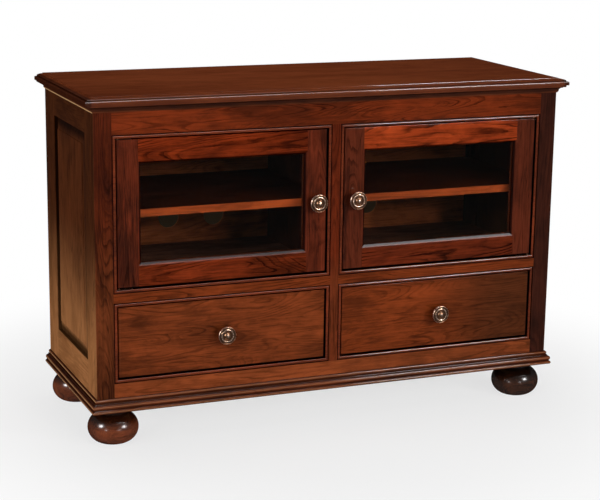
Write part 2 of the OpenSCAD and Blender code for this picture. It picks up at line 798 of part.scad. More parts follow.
// Hinge leaves of the door, each with the hole that turns on the frame's pin
module door_hinge_leaves() difference() {
    door_leaf_plates();
    translate([hinge_axis_x, hinge_y, door_z0 - past])
        cylinder(h = door_h + 2 * past, r = hinge_pin_r + pin_fit);
}

// Pin on a leaf in the face frame, with the collar that carries the door
module frame_pin(z, up) translate([hinge_axis_x, hinge_pin_y, z]) mirror([0, 0, up ? 0 : 1]) {
    cylinder(h = gap + leaf_t - run, r = hinge_pin_r);
    cylinder(h = gap - run, r = hinge_pin_r + hinge_collar);
}

module hinge_frame_leaves() color(bronze) place() both() {
    frame_leaf_plates();
    frame_pin(door_open_z, true);
    frame_pin(door_open_top, false);
}

module strike_plate() block([strike_x, door_t - strike_t, strike_z - strike_h / 2],
    [strike_x + strike_w, door_t, strike_z + strike_h / 2]);

module door_catches() color(steel) place() both()
    block([part_x, leaf_back + run, strike_z - catch_h / 2],
        [part_x + catch_w, leaf_back + run + catch_d, strike_z + catch_h / 2]);

// A knob standing on a front face at Y = 0
module knob_at(x, z) translate([x, 0, z]) rotate([90, 0, 0]) difference() {
    rotate_extrude() polygon(knob_profile);
    translate([0, 0, -past]) cylinder(h = screw_in_knob + past + screw_fit, r = screw_r + screw_fit);
}

// A knob screw whose head bears on a face at y1
module screw_at(x, z, y1) translate([x, y1, z]) rotate([90, 0, 0]) {
    cylinder(h = y1 + screw_in_knob, r = screw_r);
    translate([0, 0, -screw_head_h]) cylinder(h = screw_head_h, r = screw_head_r);
}

// Drawer pieces of the right-hand bay
module drawer_front() difference() {
    eased_block([leaf_x0, 0, front_z0], [leaf_x1, door_t, front_z1]);
    knob_hole(open_mid, door_t, (front_z0 + front_z1) / 2);
}

// Dovetails of the drawer sides at one end: narrow at the board, wide at the end grain
module tail_row(narrow_y, wide_y) {
    for (i = [0:tails - 1]) {
        z = box_z + (i + 0.5) * tail_pitch;
        for (x = [box_x0, box_x1 - box_t])
            along_x(x, x + box_t) polygon([[narrow_y, z - tail_half], [wide_y, z - tail_half - tail_spread],
                [wide_y, z + tail_half + tail_spread], [narrow_y, z + tail_half]]);
    }
}

module all_tails() {
    tail_row(box_y0 + box_t, box_y0);
    tail_row(box_y1 - box_t, box_y1);
}

module drawer_bottom() {
    in = box_t - bottom_groove;
    block([box_x0 + in, box_y0 + in, box_z + bottom_lift],
        [box_x1 - in, box_y1 - in, box_z + bottom_lift + bottom_t]);
}

module drawer_sides() difference() {
    union() {
        for (x = [box_x0, box_x1 - box_t])
            block([x, box_y0 + box_t, box_z], [x + box_t, box_y1 - box_t, box_z + box_h]);
        all_tails();
    }
    drawer_bottom();
}

module drawer_ends() difference() {
    for (y = [box_y0, box_y1 - box_t])
        block([box_x0, y, box_z], [box_x1, y + box_t, box_z + box_h]);
    all_tails();
    drawer_bottom();
    knob_hole(open_mid, box_y0 + box_t, (front_z0 + front_z1) / 2);
}

// Section of a slide member from u0 to u1 off its spacer, open on the side away from its web at u0
module channel(u0, u1, half_h) difference() {
    translate([u0, -half_h]) square([u1 - u0, 2 * half_h]);
    translate([u0 + slide_gauge, slide_gauge - half_h]) square([u1 - u0, 2 * (half_h - slide_gauge)]);
}

// The same slide member at both sides of a drawer, facing each other
module slide_pair() {
    translate([open_x0, 0, slide_z]) along_y(slide_y0, box_y1) children();
    translate([open_x1, 0, slide_z]) mirror([1, 0, 0]) along_y(slide_y0, box_y1) children();
}

mid_half = slide_h / 2 - slide_gauge - run;
module slides_outer() slide_pair() channel(0, slide_w - slide_lip_gap, slide_h / 2);

module slides_middle() slide_pair() channel(2 * slide_gauge, slide_w - slide_gauge - run, mid_half);

module slides_inner() slide_pair() translate([slide_w, 0]) mirror([1, 0])
    channel(0, slide_w - 4 * slide_gauge, mid_half - slide_gauge - run);

module slide_outer_members() color(steel) place() both() slides_outer();

module slide_spacers() color(inner_wood) place() both() {
    block([open_x1, frame_t, slide_z - spacer_h / 2], [side_in, back_y, slide_z + spacer_h / 2]);
    block([part_x, frame_t, slide_z - spacer_h / 2], [open_x0, back_y, slide_z + spacer_h / 2]);
}

module left() mirror([1, 0, 0]) children();

module door_left_stiles() color(stained) place() left() set_in() door_stiles();
module door_left_rails() color(stained) place() left() set_in() door_rails_with_tenons();
module door_left_glass() color(pane) place() left() set_in() door_glass();
module door_left_glass_stops() color(stained_dark) place() left() set_in() door_glass_stops();
module door_left_hinge_leaves() color(bronze) place() left() set_in() door_hinge_leaves();
module door_left_strike() color(steel) place() left() set_in() strike_plate();
module door_left_knob() color(bronze) place() left() set_in() knob_at(knob_x, knob_z);
module door_left_knob_screw() color(steel) place() left() set_in() screw_at(knob_x, knob_z, door_t);
module door_right_stiles() color(stained) place() set_in() door_stiles();
module door_right_rails() color(stained) place() set_in() door_rails_with_tenons();
module door_right_glass() color(pane) place() set_in() door_glass();
module door_right_glass_stops() color(stained_dark) place() set_in() door_glass_stops();
module door_right_hinge_leaves() color(bronze) place() set_in() door_hinge_leaves();
module door_right_strike() color(steel) place() set_in() strike_plate();
module door_right_knob() color(bronze) place() set_in() knob_at(knob_x, knob_z);
module door_right_knob_screw() color(steel) place() set_in() screw_at(knob_x, knob_z, door_t);

front_mid_z = (front_z0 + front_z1) / 2;
front_bore = door_t + box_t;
module drawer_left_front() color(stained) place() left() set_in() drawer_front();
module drawer_left_sides() color(inner_wood) place() left() drawer_sides();
module drawer_left_ends() color(inner_wood) place() left() drawer_ends();
module drawer_left_bottom() color(inner_wood) place() left() drawer_bottom();
module drawer_left_slides_inner() color(steel) place() left() slides_inner();
module drawer_left_slides_middle() color(steel) place() left() slides_middle();
module drawer_left_knob() color(bronze) place() left() set_in() knob_at(open_mid, front_mid_z);
module drawer_left_knob_screw() color(steel) place() left() set_in()
    screw_at(open_mid, front_mid_z, front_bore);
module drawer_right_front() color(stained) place() set_in() drawer_front();
module drawer_right_sides() color(inner_wood) place() drawer_sides();
module drawer_right_ends() color(inner_wood) place() drawer_ends();
module drawer_right_bottom() color(inner_wood) place() drawer_bottom();
module drawer_right_slides_inner() color(steel) place() slides_inner();
module drawer_right_slides_middle() color(steel) place() slides_middle();
module drawer_right_knob() color(bronze) place() set_in() knob_at(open_mid, front_mid_z);
module drawer_right_knob_screw() color(steel) place() set_in() screw_at(open_mid, front_mid_z, front_bore);

top_panel();
cove_moulding();
frame_stile_left();
frame_stile_right();
frame_stile_center();
frame_rail_top();
frame_rails_middle();
frame_rail_bottom();
opening_beads();
side_stiles();
side_rails();
side_panels();
back_panel();
center_partition();
bottom_panel();
deck_panels();
top_cleats();
shelf_left();
shelf_right();
shelf_pins();
base_moulding();
corner_blocks();
bun_feet();
foot_studs();
hinge_frame_leaves();
door_catches();
slide_outer_members();
slide_spacers();
door_left_stiles();
door_left_rails();
door_left_glass();
door_left_glass_stops();
door_left_hinge_leaves();
door_left_strike();
door_left_knob();
door_left_knob_screw();
door_right_stiles();
door_right_rails();
door_right_glass();
door_right_glass_stops();
door_right_hinge_leaves();
door_right_strike();
door_right_knob();
door_right_knob_screw();
drawer_left_front();
drawer_left_sides();
drawer_left_ends();
drawer_left_bottom();
drawer_left_slides_inner();
drawer_left_slides_middle();
drawer_left_knob();
drawer_left_knob_screw();
drawer_right_front();
drawer_right_sides();
drawer_right_ends();
drawer_right_bottom();
drawer_right_slides_inner();
drawer_right_slides_middle();
drawer_right_knob();
drawer_right_knob_screw();
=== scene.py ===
import math

import bmesh
import bpy
from mathutils import Matrix, Vector


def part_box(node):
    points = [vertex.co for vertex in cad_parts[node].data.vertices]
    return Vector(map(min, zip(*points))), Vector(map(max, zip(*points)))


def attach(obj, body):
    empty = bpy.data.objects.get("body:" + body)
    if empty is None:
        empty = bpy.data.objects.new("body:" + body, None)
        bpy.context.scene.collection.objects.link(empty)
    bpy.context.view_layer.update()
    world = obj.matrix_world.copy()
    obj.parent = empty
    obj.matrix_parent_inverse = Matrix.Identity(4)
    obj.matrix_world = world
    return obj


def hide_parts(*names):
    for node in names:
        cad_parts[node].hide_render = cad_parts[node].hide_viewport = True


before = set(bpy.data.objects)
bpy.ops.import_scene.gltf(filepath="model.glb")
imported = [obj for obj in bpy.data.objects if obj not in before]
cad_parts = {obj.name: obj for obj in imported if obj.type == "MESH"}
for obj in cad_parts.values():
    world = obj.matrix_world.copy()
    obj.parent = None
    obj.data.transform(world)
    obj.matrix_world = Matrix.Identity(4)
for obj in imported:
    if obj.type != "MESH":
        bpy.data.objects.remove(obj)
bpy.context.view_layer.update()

# Face frame. Two outer stiles, a centre stile and the rails between them, of solid cherry 20 mm
# thick, mortised and tenoned together. It is sanded flush, stained red brown and lacquered, so at a
# joint only the direction of the grain changes.


def linear(red, green, blue):
    """A stain colour read from a colour card, 0 to 255, as the shader wants it."""
    return tuple(
        c / 12.92 if c <= 0.04045 else ((c + 0.055) / 1.055) ** 2.4
        for c in (red / 255, green / 255, blue / 255)
    ) + (1.0,)


def put(tree, kind, feeds=None, **settings):
    """Adds a shader node and sets or links its sockets."""
    made = tree.nodes.new("ShaderNode" + kind)
    for name, value in settings.items():
        setattr(made, name, value)
    for key, value in (feeds or {}).items():
        if isinstance(value, bpy.types.NodeSocket):
            tree.links.new(value, made.inputs[key])
        else:
            made.inputs[key].default_value = value
    return made


def calc(tree, operation, first, second=0.0, third=0.0):
    """A math node's result."""
    return put(tree, "Math", {0: first, 1: second, 2: third}, operation=operation).outputs[0]


def span(tree, value, low, high, to_low=0.0, to_high=1.0):
    """A value brought smoothly from one range to another."""
    feeds = {"Value": value, "From Min": low, "From Max": high, "To Min": to_low, "To Max": to_high}
    return put(tree, "MapRange", feeds, interpolation_type="SMOOTHSTEP").outputs["Result"]


def noise(tree, place, scale, detail=2.0, roughness=0.5, distortion=0.0):
    """Noise drawn out along the grain: scale is per metre, along the grain and across it."""
    stretched = put(tree, "VectorMath", {0: place, 1: (scale[0], scale[1], scale[1])},
                    operation="MULTIPLY").outputs["Vector"]
    feeds = {"Vector": stretched, "Scale": 1.0, "Detail": detail, "Roughness": roughness,
             "Distortion": distortion}
    return put(tree, "TexNoise", feeds).outputs["Fac"]


def new_group(name, inputs, outputs):
    """An empty shader node group with its sockets, and its two end nodes."""
    group = bpy.data.node_groups.new(name, "ShaderNodeTree")
    for socket_name, kind, value in inputs:
        socket = group.interface.new_socket(name=socket_name, in_out="INPUT", socket_type=kind)
        if value is not None:
            socket.default_value = value
    for socket_name, kind in outputs:
        group.interface.new_socket(name=socket_name, in_out="OUTPUT", socket_type=kind)
    return group, group.nodes.new("NodeGroupInput"), group.nodes.new("NodeGroupOutput")


# The grain of cherry, with X along the boards: annual rings cut into long arches, fine fibre, pores
# and the cloudy figure that stain brings out. Scales are per metre, along the grain and across it,
# ranges are those of a noise or of a year's growth, and shares say how much each part counts.
SEED_STEPS = (7.31, 3.17, 1.93)
ARCH_SCALE, WOBBLE_SCALE, PATCH_SCALE = (1.3, 8.0), (16.0, 90.0), (6.0, 24.0)
FIBRE_SCALE, PORE_SCALE, CLOUD_SCALE, MOTTLE_SCALE = (10.0, 300.0), (60.0, 1500.0), (2.6, 8.0), (13.0, 34.0)
WOBBLE_SHARE, YEAR_LENGTH, YEAR_WIDTH = 0.9, 8.0, 1.1
LATE_WOOD, NEXT_YEAR, PATCHES, FAINTEST_LINE = (0.5, 0.86), (1.0, 0.9), (0.36, 0.62), 0.15
STREAKS, STREAK_SHARE, PORES, PORE_SHARE = (0.52, 0.68), 0.8, (0.6, 0.74), 0.12
CLOUD_SHARE, MOTTLE_SHARE, FIBRE_SHARE, GROWTH_SHARE = 0.34, 0.22, 0.22, 0.22
TONES, DARKEST, FIBRES, SATIN, FIBRE_HEIGHT = (0.39, 0.61), 0.15, (0.3, 0.7), (0.34, 0.44), 0.6

cherry_grain, ends_in, ends_out = new_group(
    "cherry_grain",
    [("Vector", "NodeSocketVector", None), ("Seed", "NodeSocketFloat", 0.0),
     ("Rings", "NodeSocketFloat", 36.0), ("Line Depth", "NodeSocketFloat", 0.5),
     ("Deep", "NodeSocketColor", (0.05, 0.01, 0.005, 1.0)),
     ("Bright", "NodeSocketColor", (0.2, 0.04, 0.01, 1.0))],
    [("Color", "NodeSocketColor"), ("Roughness", "NodeSocketFloat"), ("Height", "NodeSocketFloat")])
tree = cherry_grain
given = ends_in.outputs
seed_shift = put(tree, "CombineXYZ", {i: calc(tree, "MULTIPLY", given["Seed"], step)
                                      for i, step in enumerate(SEED_STEPS)})
board = put(tree, "VectorMath", {0: given["Vector"], 1: seed_shift.outputs[0]},
            operation="ADD").outputs["Vector"]
arches = noise(tree, board, ARCH_SCALE, detail=2.0, roughness=0.45, distortion=0.4)
wobble = noise(tree, board, WOBBLE_SCALE, detail=3.0, roughness=0.6)
phase = calc(tree, "MULTIPLY_ADD", arches, given["Rings"], calc(tree, "MULTIPLY", wobble, WOBBLE_SHARE))
ring = calc(tree, "FRACT", phase)
lines = calc(tree, "MULTIPLY", span(tree, ring, *LATE_WOOD), span(tree, ring, *NEXT_YEAR))
patches = span(tree, noise(tree, board, PATCH_SCALE), *PATCHES, FAINTEST_LINE, 1.0)
lines = calc(tree, "MULTIPLY", lines, patches)
along_grain = put(tree, "SeparateXYZ", {0: board}).outputs[0]
year = put(tree, "CombineXYZ", {0: calc(tree, "MULTIPLY", along_grain, YEAR_LENGTH),
                                1: calc(tree, "MULTIPLY", phase, YEAR_WIDTH)})
growth = put(tree, "TexNoise", {"Vector": year.outputs[0], "Scale": 1.0, "Detail": 4.0,
                                "Roughness": 0.62}).outputs[0]
streaks = span(tree, growth, *STREAKS)
fibre = noise(tree, board, FIBRE_SCALE, detail=4.0, roughness=0.66)
pores = span(tree, noise(tree, board, PORE_SCALE, detail=1.0), *PORES)
clouds = noise(tree, board, CLOUD_SCALE, detail=3.0, distortion=0.6)
mottle = noise(tree, board, MOTTLE_SCALE, detail=4.0, roughness=0.6, distortion=0.5)
tone = calc(tree, "ADD",
            calc(tree, "MULTIPLY_ADD", clouds, CLOUD_SHARE, calc(tree, "MULTIPLY", mottle, MOTTLE_SHARE)),
            calc(tree, "MULTIPLY_ADD", fibre, FIBRE_SHARE, calc(tree, "MULTIPLY", growth, GROWTH_SHARE)))
tint = put(tree, "Mix", {0: span(tree, tone, *TONES), 6: given["Deep"], 7: given["Bright"]},
           data_type="RGBA").outputs[2]
marks = calc(tree, "MULTIPLY_ADD", streaks, STREAK_SHARE, lines)
shade = calc(tree, "SUBTRACT", 1.0, calc(tree, "MULTIPLY_ADD", marks, given["Line Depth"],
                                         calc(tree, "MULTIPLY", pores, PORE_SHARE)))
shaded = put(tree, "VectorMath", {0: tint, "Scale": calc(tree, "MAXIMUM", shade, DARKEST)},
             operation="SCALE").outputs["Vector"]
height = calc(tree, "SUBTRACT", calc(tree, "MULTIPLY", fibre, FIBRE_HEIGHT), pores)
tree.links.new(shaded, ends_out.inputs["Color"])
tree.links.new(span(tree, fibre, *FIBRES, *SATIN), ends_out.inputs["Roughness"])
tree.links.new(height, ends_out.inputs["Height"])

ALONG = {"x": (0, 1, 2), "y": (1, 0, 2), "z": (2, 0, 1)}
# The hollows of a moulding keep this share of their colour: glaze and painted shade.
HOLLOW_GLAZE_AND_SHADE = 0.3
BUMP_STRENGTH, BUMP_DEPTH, FACING = 0.12, 0.0004, (0.3, 0.8)


def cherry(name, grain, deep, bright, seed, rings=36.0, lines=0.4, coat=0.25, coat_grazing=0.04,
           gloss=0.08, fades=(), shades=(), worn_and_lit=None):
    """Stained and lacquered cherry with its grain along one axis. deep and bright are the two
    ends of the stain's colour on that board. fades are (stretches, deep, bright), the colours that
    it passes into, where each stretch is (axis, start, stop). shades are (axis, start, stop, first,
    last): painted shade, where the colour is multiplied by a share that changes along an axis. The
    last argument is how much lighter the crests of a moulding are, by its own attribute, as wear and
    painted highlight, with glaze and painted shade in the hollows, and the pale colour that the
    lightest crests pass into, worn through and painted as a highlight."""
    material = bpy.data.materials.new(name)
    material.use_nodes = True
    tree = material.node_tree
    shader = tree.nodes["Principled BSDF"]
    place = put(tree, "SeparateXYZ", {0: put(tree, "TexCoord").outputs["Object"]}).outputs
    along = put(tree, "CombineXYZ", {i: place[axis] for i, axis in enumerate(ALONG[grain])})
    distances = {"x": place[0], "y": place[1], "z": place[2], "out": calc(tree, "ABSOLUTE", place[0])}
    colours = [linear(*deep), linear(*bright)]
    for stretches, *others in fades:
        passed = 1.0
        for axis, start, stop in stretches:
            passed = calc(tree, "MULTIPLY", span(tree, distances[axis], start, stop), passed)
        colours = [put(tree, "Mix", {0: passed, 6: first, 7: linear(*other)}, data_type="RGBA").outputs[2]
                   for first, other in zip(colours, others)]
    wood = put(tree, "Group", {"Vector": along.outputs[0], "Seed": seed, "Rings": rings, "Line Depth": lines,
                               "Deep": colours[0], "Bright": colours[1]}, node_tree=cherry_grain)
    stain = wood.outputs["Color"]
    weights = [span(tree, distances[axis], *stretch) for axis, *stretch in shades]
    if worn_and_lit:
        wear_sheen = put(tree, "Attribute", attribute_name="wear_sheen").outputs["Fac"]
        weights.append(calc(tree, "MULTIPLY_ADD", calc(tree, "MINIMUM", wear_sheen, 1.0), worn_and_lit[0], HOLLOW_GLAZE_AND_SHADE))
    for weight in weights:
        stain = put(tree, "VectorMath", {0: stain, "Scale": weight}, operation="SCALE").outputs["Vector"]
    if worn_and_lit:
        stain = put(tree, "Mix", {0: span(tree, wear_sheen, 1.0, 2.0), 6: stain, 7: linear(*worn_and_lit[1])},
                    data_type="RGBA").outputs[2]
    tree.links.new(stain, shader.inputs["Base Color"])
    tree.links.new(wood.outputs["Roughness"], shader.inputs["Roughness"])
    grain_bump = put(tree, "Bump", {"Strength": BUMP_STRENGTH, "Distance": BUMP_DEPTH,
                                    "Height": wood.outputs["Height"]})
    tree.links.new(grain_bump.outputs[0], shader.inputs["Normal"])
    facing = put(tree, "LayerWeight", {"Blend": 0.5}).outputs["Facing"]
    tree.links.new(span(tree, facing, *FACING, coat, coat_grazing), shader.inputs["Coat Weight"])
    shader.inputs["Coat Roughness"].default_value = gloss
    shader.inputs["Specular IOR Level"].default_value = 0.0
    return material


def dress(material, *names):
    """Gives CAD nodes their finish."""
    for name in names:
        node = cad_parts[name]
        node.data.materials.clear()
        node.data.materials.append(material)


FRONT_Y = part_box("frame_stile_center")[0].y
CASE_HALF = 0.6
OUTER_FACE = ("out", CASE_HALF - 0.0004, CASE_HALF - 0.0001)
# Painted light: the sides, and the outer faces of the end stiles, are lighter low down and darker towards the
# top.
SIDE_RISE = ("z", 0.17, 0.54)
SIDE_LOW, SIDE_HIGH = ((158, 102, 59), (204, 138, 86)), ((60, 29, 13), (96, 49, 23))
SIDE_FACE = [((OUTER_FACE,), *SIDE_LOW), ((OUTER_FACE, SIDE_RISE), *SIDE_HIGH)]
# Painted shade: the left and centre stiles darken towards the top.
LEFT_STILE_RISE, CENTER_STILE_RISE = ("z", 0.3, 0.6), ("z", 0.34, 0.44)
dress(cherry("cherry_stile_left", "z", (66, 30, 14), (124, 61, 31), 1.0, lines=0.5,
             fades=[((LEFT_STILE_RISE,), (44, 15, 7), (104, 41, 19))] + SIDE_FACE), "frame_stile_left")
dress(cherry("cherry_stile_right", "z", (42, 20, 14), (76, 36, 24), 2.0, lines=0.4, fades=SIDE_FACE),
      "frame_stile_right")
dress(cherry("cherry_stile_center", "z", (84, 36, 17), (146, 66, 34), 3.0, lines=0.5,
             fades=[((CENTER_STILE_RISE,), (72, 25, 11), (124, 47, 21))]), "frame_stile_center")
for name, deep, bright, seed, lines in (
        ("rail_top", (84, 33, 14), (146, 58, 25), 4.0, 0.5),
        ("rails_middle", (88, 37, 15), (148, 66, 29), 5.0, 0.5),
        ("rail_bottom", (106, 51, 24), (166, 82, 42), 6.0, 0.45)):
    dress(cherry("cherry_" + name, "x", deep, bright, seed, lines=lines), "frame_" + name)

# Beads round the four openings. Cherry strips 9 mm wide with a half-round front edge that stands
# 1 mm proud, mitred at the corners and glued into the frame. Their walls behind the front are painted dark,
# as painted shade in the gaps.

STRIP_W, BEAD_R, BEAD_PROUD, STRIP_BACK = 0.009, 0.0035, 0.001, 0.02
# Painted shade on the inner walls of the beads, behind their front.
INNER_WALL, WALL_SHADE = (0.0003, 0.0018), 0.06


def arc(across, up, wide, high, start, stop, steps=12):
    """Points along an ellipse, in degrees."""
    angles = [math.radians(start + (stop - start) * i / steps) for i in range(steps + 1)]
    return [(across + wide * math.cos(a), up + high * math.sin(a)) for a in angles]


def deselect_all():
    """Nothing selected, in object mode."""
    if bpy.context.mode != "OBJECT":
        bpy.ops.object.mode_set(mode="OBJECT")
    bpy.ops.object.select_all(action="DESELECT")


def strip_length(name, outline, half, mitre, wear_sheen=None):
    """A straight length along X of a moulding with this outline in (Y, Z). Each end is cut at 45
    degrees: it reaches half plus what mitre gives for the point. The last argument tells for each point
    of the outline how much lighter it is painted there: wear and painted highlight on the crests."""
    deselect_all()
    bpy.ops.mesh.primitive_circle_add(vertices=len(outline), radius=0.01, fill_type="NGON")
    strip = bpy.context.object
    strip.name = strip.data.name = name
    for vertex, (y, z) in zip(strip.data.vertices, outline):
        vertex.co = (-half, y, z)
    bpy.ops.object.mode_set(mode="EDIT")
    bpy.ops.mesh.select_all(action="SELECT")
    bpy.ops.mesh.extrude_region_move(TRANSFORM_OT_translate={"value": (2 * half, 0, 0)})
    bpy.ops.mesh.select_all(action="SELECT")
    bpy.ops.mesh.normals_make_consistent(inside=False)
    bpy.ops.object.mode_set(mode="OBJECT")
    wear_sheen_layer = strip.data.attributes.new("wear_sheen", "FLOAT", "POINT")
    for vertex in strip.data.vertices:
        y, z = vertex.co.y, vertex.co.z
        vertex.co.x = math.copysign(half + mitre(y, z), vertex.co.x)
        nearest = min(range(len(outline)), key=lambda i: math.dist(outline[i], (y, z)))
        wear_sheen_layer.data[vertex.index].value = wear_sheen[nearest] if wear_sheen else 1.0
    return strip


def settle(obj, matrix=Matrix.Identity(4)):
    """Puts a finished shape in its place, in its own mesh."""
    obj.data.transform(matrix @ obj.matrix_world)
    obj.matrix_world = Matrix.Identity(4)
    return obj


def join(name, pieces):
    """Several lengths as one object."""
    deselect_all()
    for piece in pieces:
        piece.select_set(True)
    bpy.context.view_layer.objects.active = pieces[0]
    bpy.ops.object.join()
    joined = bpy.context.object
    joined.name = joined.data.name = name
    return joined


def smooth(obj, degrees=35):
    """Smooth shading, apart from real edges."""
    deselect_all()
    obj.select_set(True)
    bpy.context.view_layer.objects.active = obj
    bpy.ops.object.shade_smooth_by_angle(angle=math.radians(degrees))
    return obj


def finish_piece(obj, material, slot, body, *nodes):
    """A piece's material, its place among the moving bodies and the CAD nodes that it stands for."""
    obj.data.materials.clear()
    obj.data.materials.append(material)
    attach(obj, body)
    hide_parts(*nodes)
    return obj


HAIRLINE = 0.00005
bead_outline = [(STRIP_BACK, 0.0)] + arc(BEAD_R - BEAD_PROUD, BEAD_R, BEAD_R, BEAD_R, 270, 90, 14) + [
    (BEAD_R - BEAD_PROUD, STRIP_W), (STRIP_BACK, STRIP_W)]
OPENINGS_X = (0.02, 0.548)
OPENINGS_Z = ((0.382, 0.737), (0.165, 0.342))
strips = []
for sign in (-1, 1):
    for low, high in OPENINGS_Z:
        middle = Vector((sign * sum(OPENINGS_X) / 2, FRONT_Y, (low + high) / 2))
        wide, tall = OPENINGS_X[1] - OPENINGS_X[0], high - low
        for turn, length, reach in ((0, wide, tall), (180, wide, tall), (90, tall, wide), (-90, tall, wide)):
            strip = strip_length("bead", bead_outline, length / 2 - HAIRLINE, lambda y, z: z)
            place = Matrix.Translation(middle) @ Matrix.Rotation(math.radians(turn), 4, "Y")
            strips.append(settle(strip, place @ Matrix.Translation((0, 0, reach / 2))))
opening_beads = smooth(join("opening_beads_turned", strips))
bead_finish = cherry("cherry_beads", "x", (88, 36, 18), (134, 58, 29), 7.0, lines=0.2, coat=0.7, gloss=0.04,
                     shades=[("y", FRONT_Y + INNER_WALL[0], FRONT_Y + INNER_WALL[1], 1.0, WALL_SHADE)])
finish_piece(opening_beads, bead_finish, "stained_wood", "case", "opening_beads")

# Top. One glued-up cherry board 22 mm thick. Its front and side edges are shaped by a router into a
# small step, a flat quarter round, a lip with an eased nose and a fillet under it. The quirk behind the
# lip and the side edges are painted darker, as painted shade.

TOP_LOW, TOP_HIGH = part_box("top_panel")
TOP_OVER = 0.023
FILLET_H, FILLET_BACK, LIP_TOP, NOSE_R, LEDGE = 0.0045, 0.005, 0.0142, 0.0025, 0.0022
EASE_FROM, EASE_TO, QUIRK = 26, 44, 25
STEP_OUT, STEP_DROP, STEP_EASE, SHARP = 0.0025, 0.0015, (0.0002, 0.0003), 0.0004
# Painted shade on the side edges of the top and in the quirk behind the lip.
SIDE_EDGE, TOP_SIDE_SHADE = (0.006, 0.012), 0.4
QUIRK_FOOT, QUIRK_HEAD, QUIRK_SHADE = 0.0003, (0.0025, 0.0035), 0.5
lip_top = TOP_LOW.z + LIP_TOP
round_top = TOP_HIGH.z - STEP_DROP
ledge_out = TOP_OVER - NOSE_R - LEDGE
top_edge = [(TOP_OVER - FILLET_BACK - SHARP, TOP_LOW.z), (TOP_OVER - FILLET_BACK, TOP_LOW.z + FILLET_H),
            (TOP_OVER - SHARP, TOP_LOW.z + FILLET_H + SHARP), (TOP_OVER, TOP_LOW.z + FILLET_H + 3 * SHARP)]
nose_low = arc(TOP_OVER - NOSE_R, lip_top - NOSE_R, NOSE_R, NOSE_R, 0, EASE_FROM, 4)
nose_high = arc(TOP_OVER - NOSE_R, lip_top - NOSE_R, NOSE_R, NOSE_R, EASE_TO, 90, 6)
eased = [tuple(a + share * (b - a) for a, b in zip(nose_low[-1], nose_high[0])) for share in (0.1, 0.9)]
quarter = arc(STEP_OUT, lip_top + SHARP, ledge_out - STEP_OUT, round_top - lip_top - SHARP, QUIRK, 90, 12)
top_edge += nose_low + eased + nose_high + [(quarter[0][0], lip_top + SHARP)] + quarter
top_edge += [(STEP_OUT, TOP_HIGH.z - STEP_EASE[1]), (STEP_OUT - STEP_EASE[0], TOP_HIGH.z)]
back_y = TOP_HIGH.y
first_out = top_edge[0][0]
depth = back_y - FRONT_Y
deselect_all()
bpy.ops.mesh.primitive_plane_add(size=1.0)
top_board = bpy.context.object
top_board.name = top_board.data.name = "top_board"
for vertex in top_board.data.vertices:
    vertex.co.x = math.copysign(CASE_HALF + first_out, vertex.co.x)
    vertex.co.y = back_y if vertex.co.y > 0 else FRONT_Y - first_out
    vertex.co.z = TOP_LOW.z
bpy.ops.object.mode_set(mode="EDIT")
bpy.ops.mesh.select_all(action="SELECT")
for (out, z), (next_out, next_z) in zip(top_edge, top_edge[1:]):
    bpy.ops.mesh.extrude_region_move(TRANSFORM_OT_translate={"value": (0, 0, next_z - z)})
    grow = ((CASE_HALF + next_out) / (CASE_HALF + out), (depth + next_out) / (depth + out), 1)
    bpy.ops.transform.resize(value=grow, center_override=(0, back_y, next_z))
bpy.ops.mesh.select_all(action="SELECT")
bpy.ops.mesh.normals_make_consistent(inside=False)
bpy.ops.object.mode_set(mode="OBJECT")
top_finish = cherry("cherry_top", "x", (100, 45, 22), (122, 60, 31), 8.0, rings=20.0, lines=0.12, coat=0.8,
                    coat_grazing=0.02, gloss=0.03,
                    shades=[("out", CASE_HALF + SIDE_EDGE[0], CASE_HALF + SIDE_EDGE[1], 1.0, TOP_SIDE_SHADE),
                            ("z", lip_top, lip_top + QUIRK_FOOT, 1.0, QUIRK_SHADE),
                            ("z", lip_top + QUIRK_HEAD[0], lip_top + QUIRK_HEAD[1], 1.0, 1 / QUIRK_SHADE)])
finish_piece(smooth(top_board), top_finish, "stained_wood", "case", "top_panel")

# Mouldings. A cove under the top and a base of three stacked beads, each in three lengths of
# cherry, mitred at the front corners, glued and pinned to the case.

BASE_LOW, BASE_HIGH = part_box("base_moulding")
COVE_LOW, COVE_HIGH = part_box("cove_moulding")
CASE_BACK = BASE_HIGH.y
base_shares = ([(0, 1)] + arc(0.07, 0.87, 0.29, 0.13, 90, -60, 14) + [(0.215, 0.735), (0.45, 0.735)]
               + arc(0.61, 0.7, 0.16, 0.07, 180, 270, 6) + arc(0.61, 0.47, 0.29, 0.16, 90, -55, 14)
               + [(0.735, 0.29)] + arc(0.71, 0.125, 0.29, 0.125, 80, -90, 14) + [(0, 0)])
BASE_OUT, BASE_H = 0.014, BASE_HIGH.z - BASE_LOW.z
BASE_CRESTS, CREST_REACH = ((0.36, 0.9), (0.9, 0.5), (1.0, 0.13)), 0.22
base_edge = [(out * BASE_OUT, BASE_LOW.z + share * BASE_H) for out, share in base_shares]
# Crests are painted lighter and hollows darker: wear and painted highlight on the crests, glaze and painted
# shade in the hollows.
base_wear_sheen = [max(0.0, 1 - min(math.dist(point, crest) for crest in BASE_CRESTS) / CREST_REACH)
            for point in base_shares]
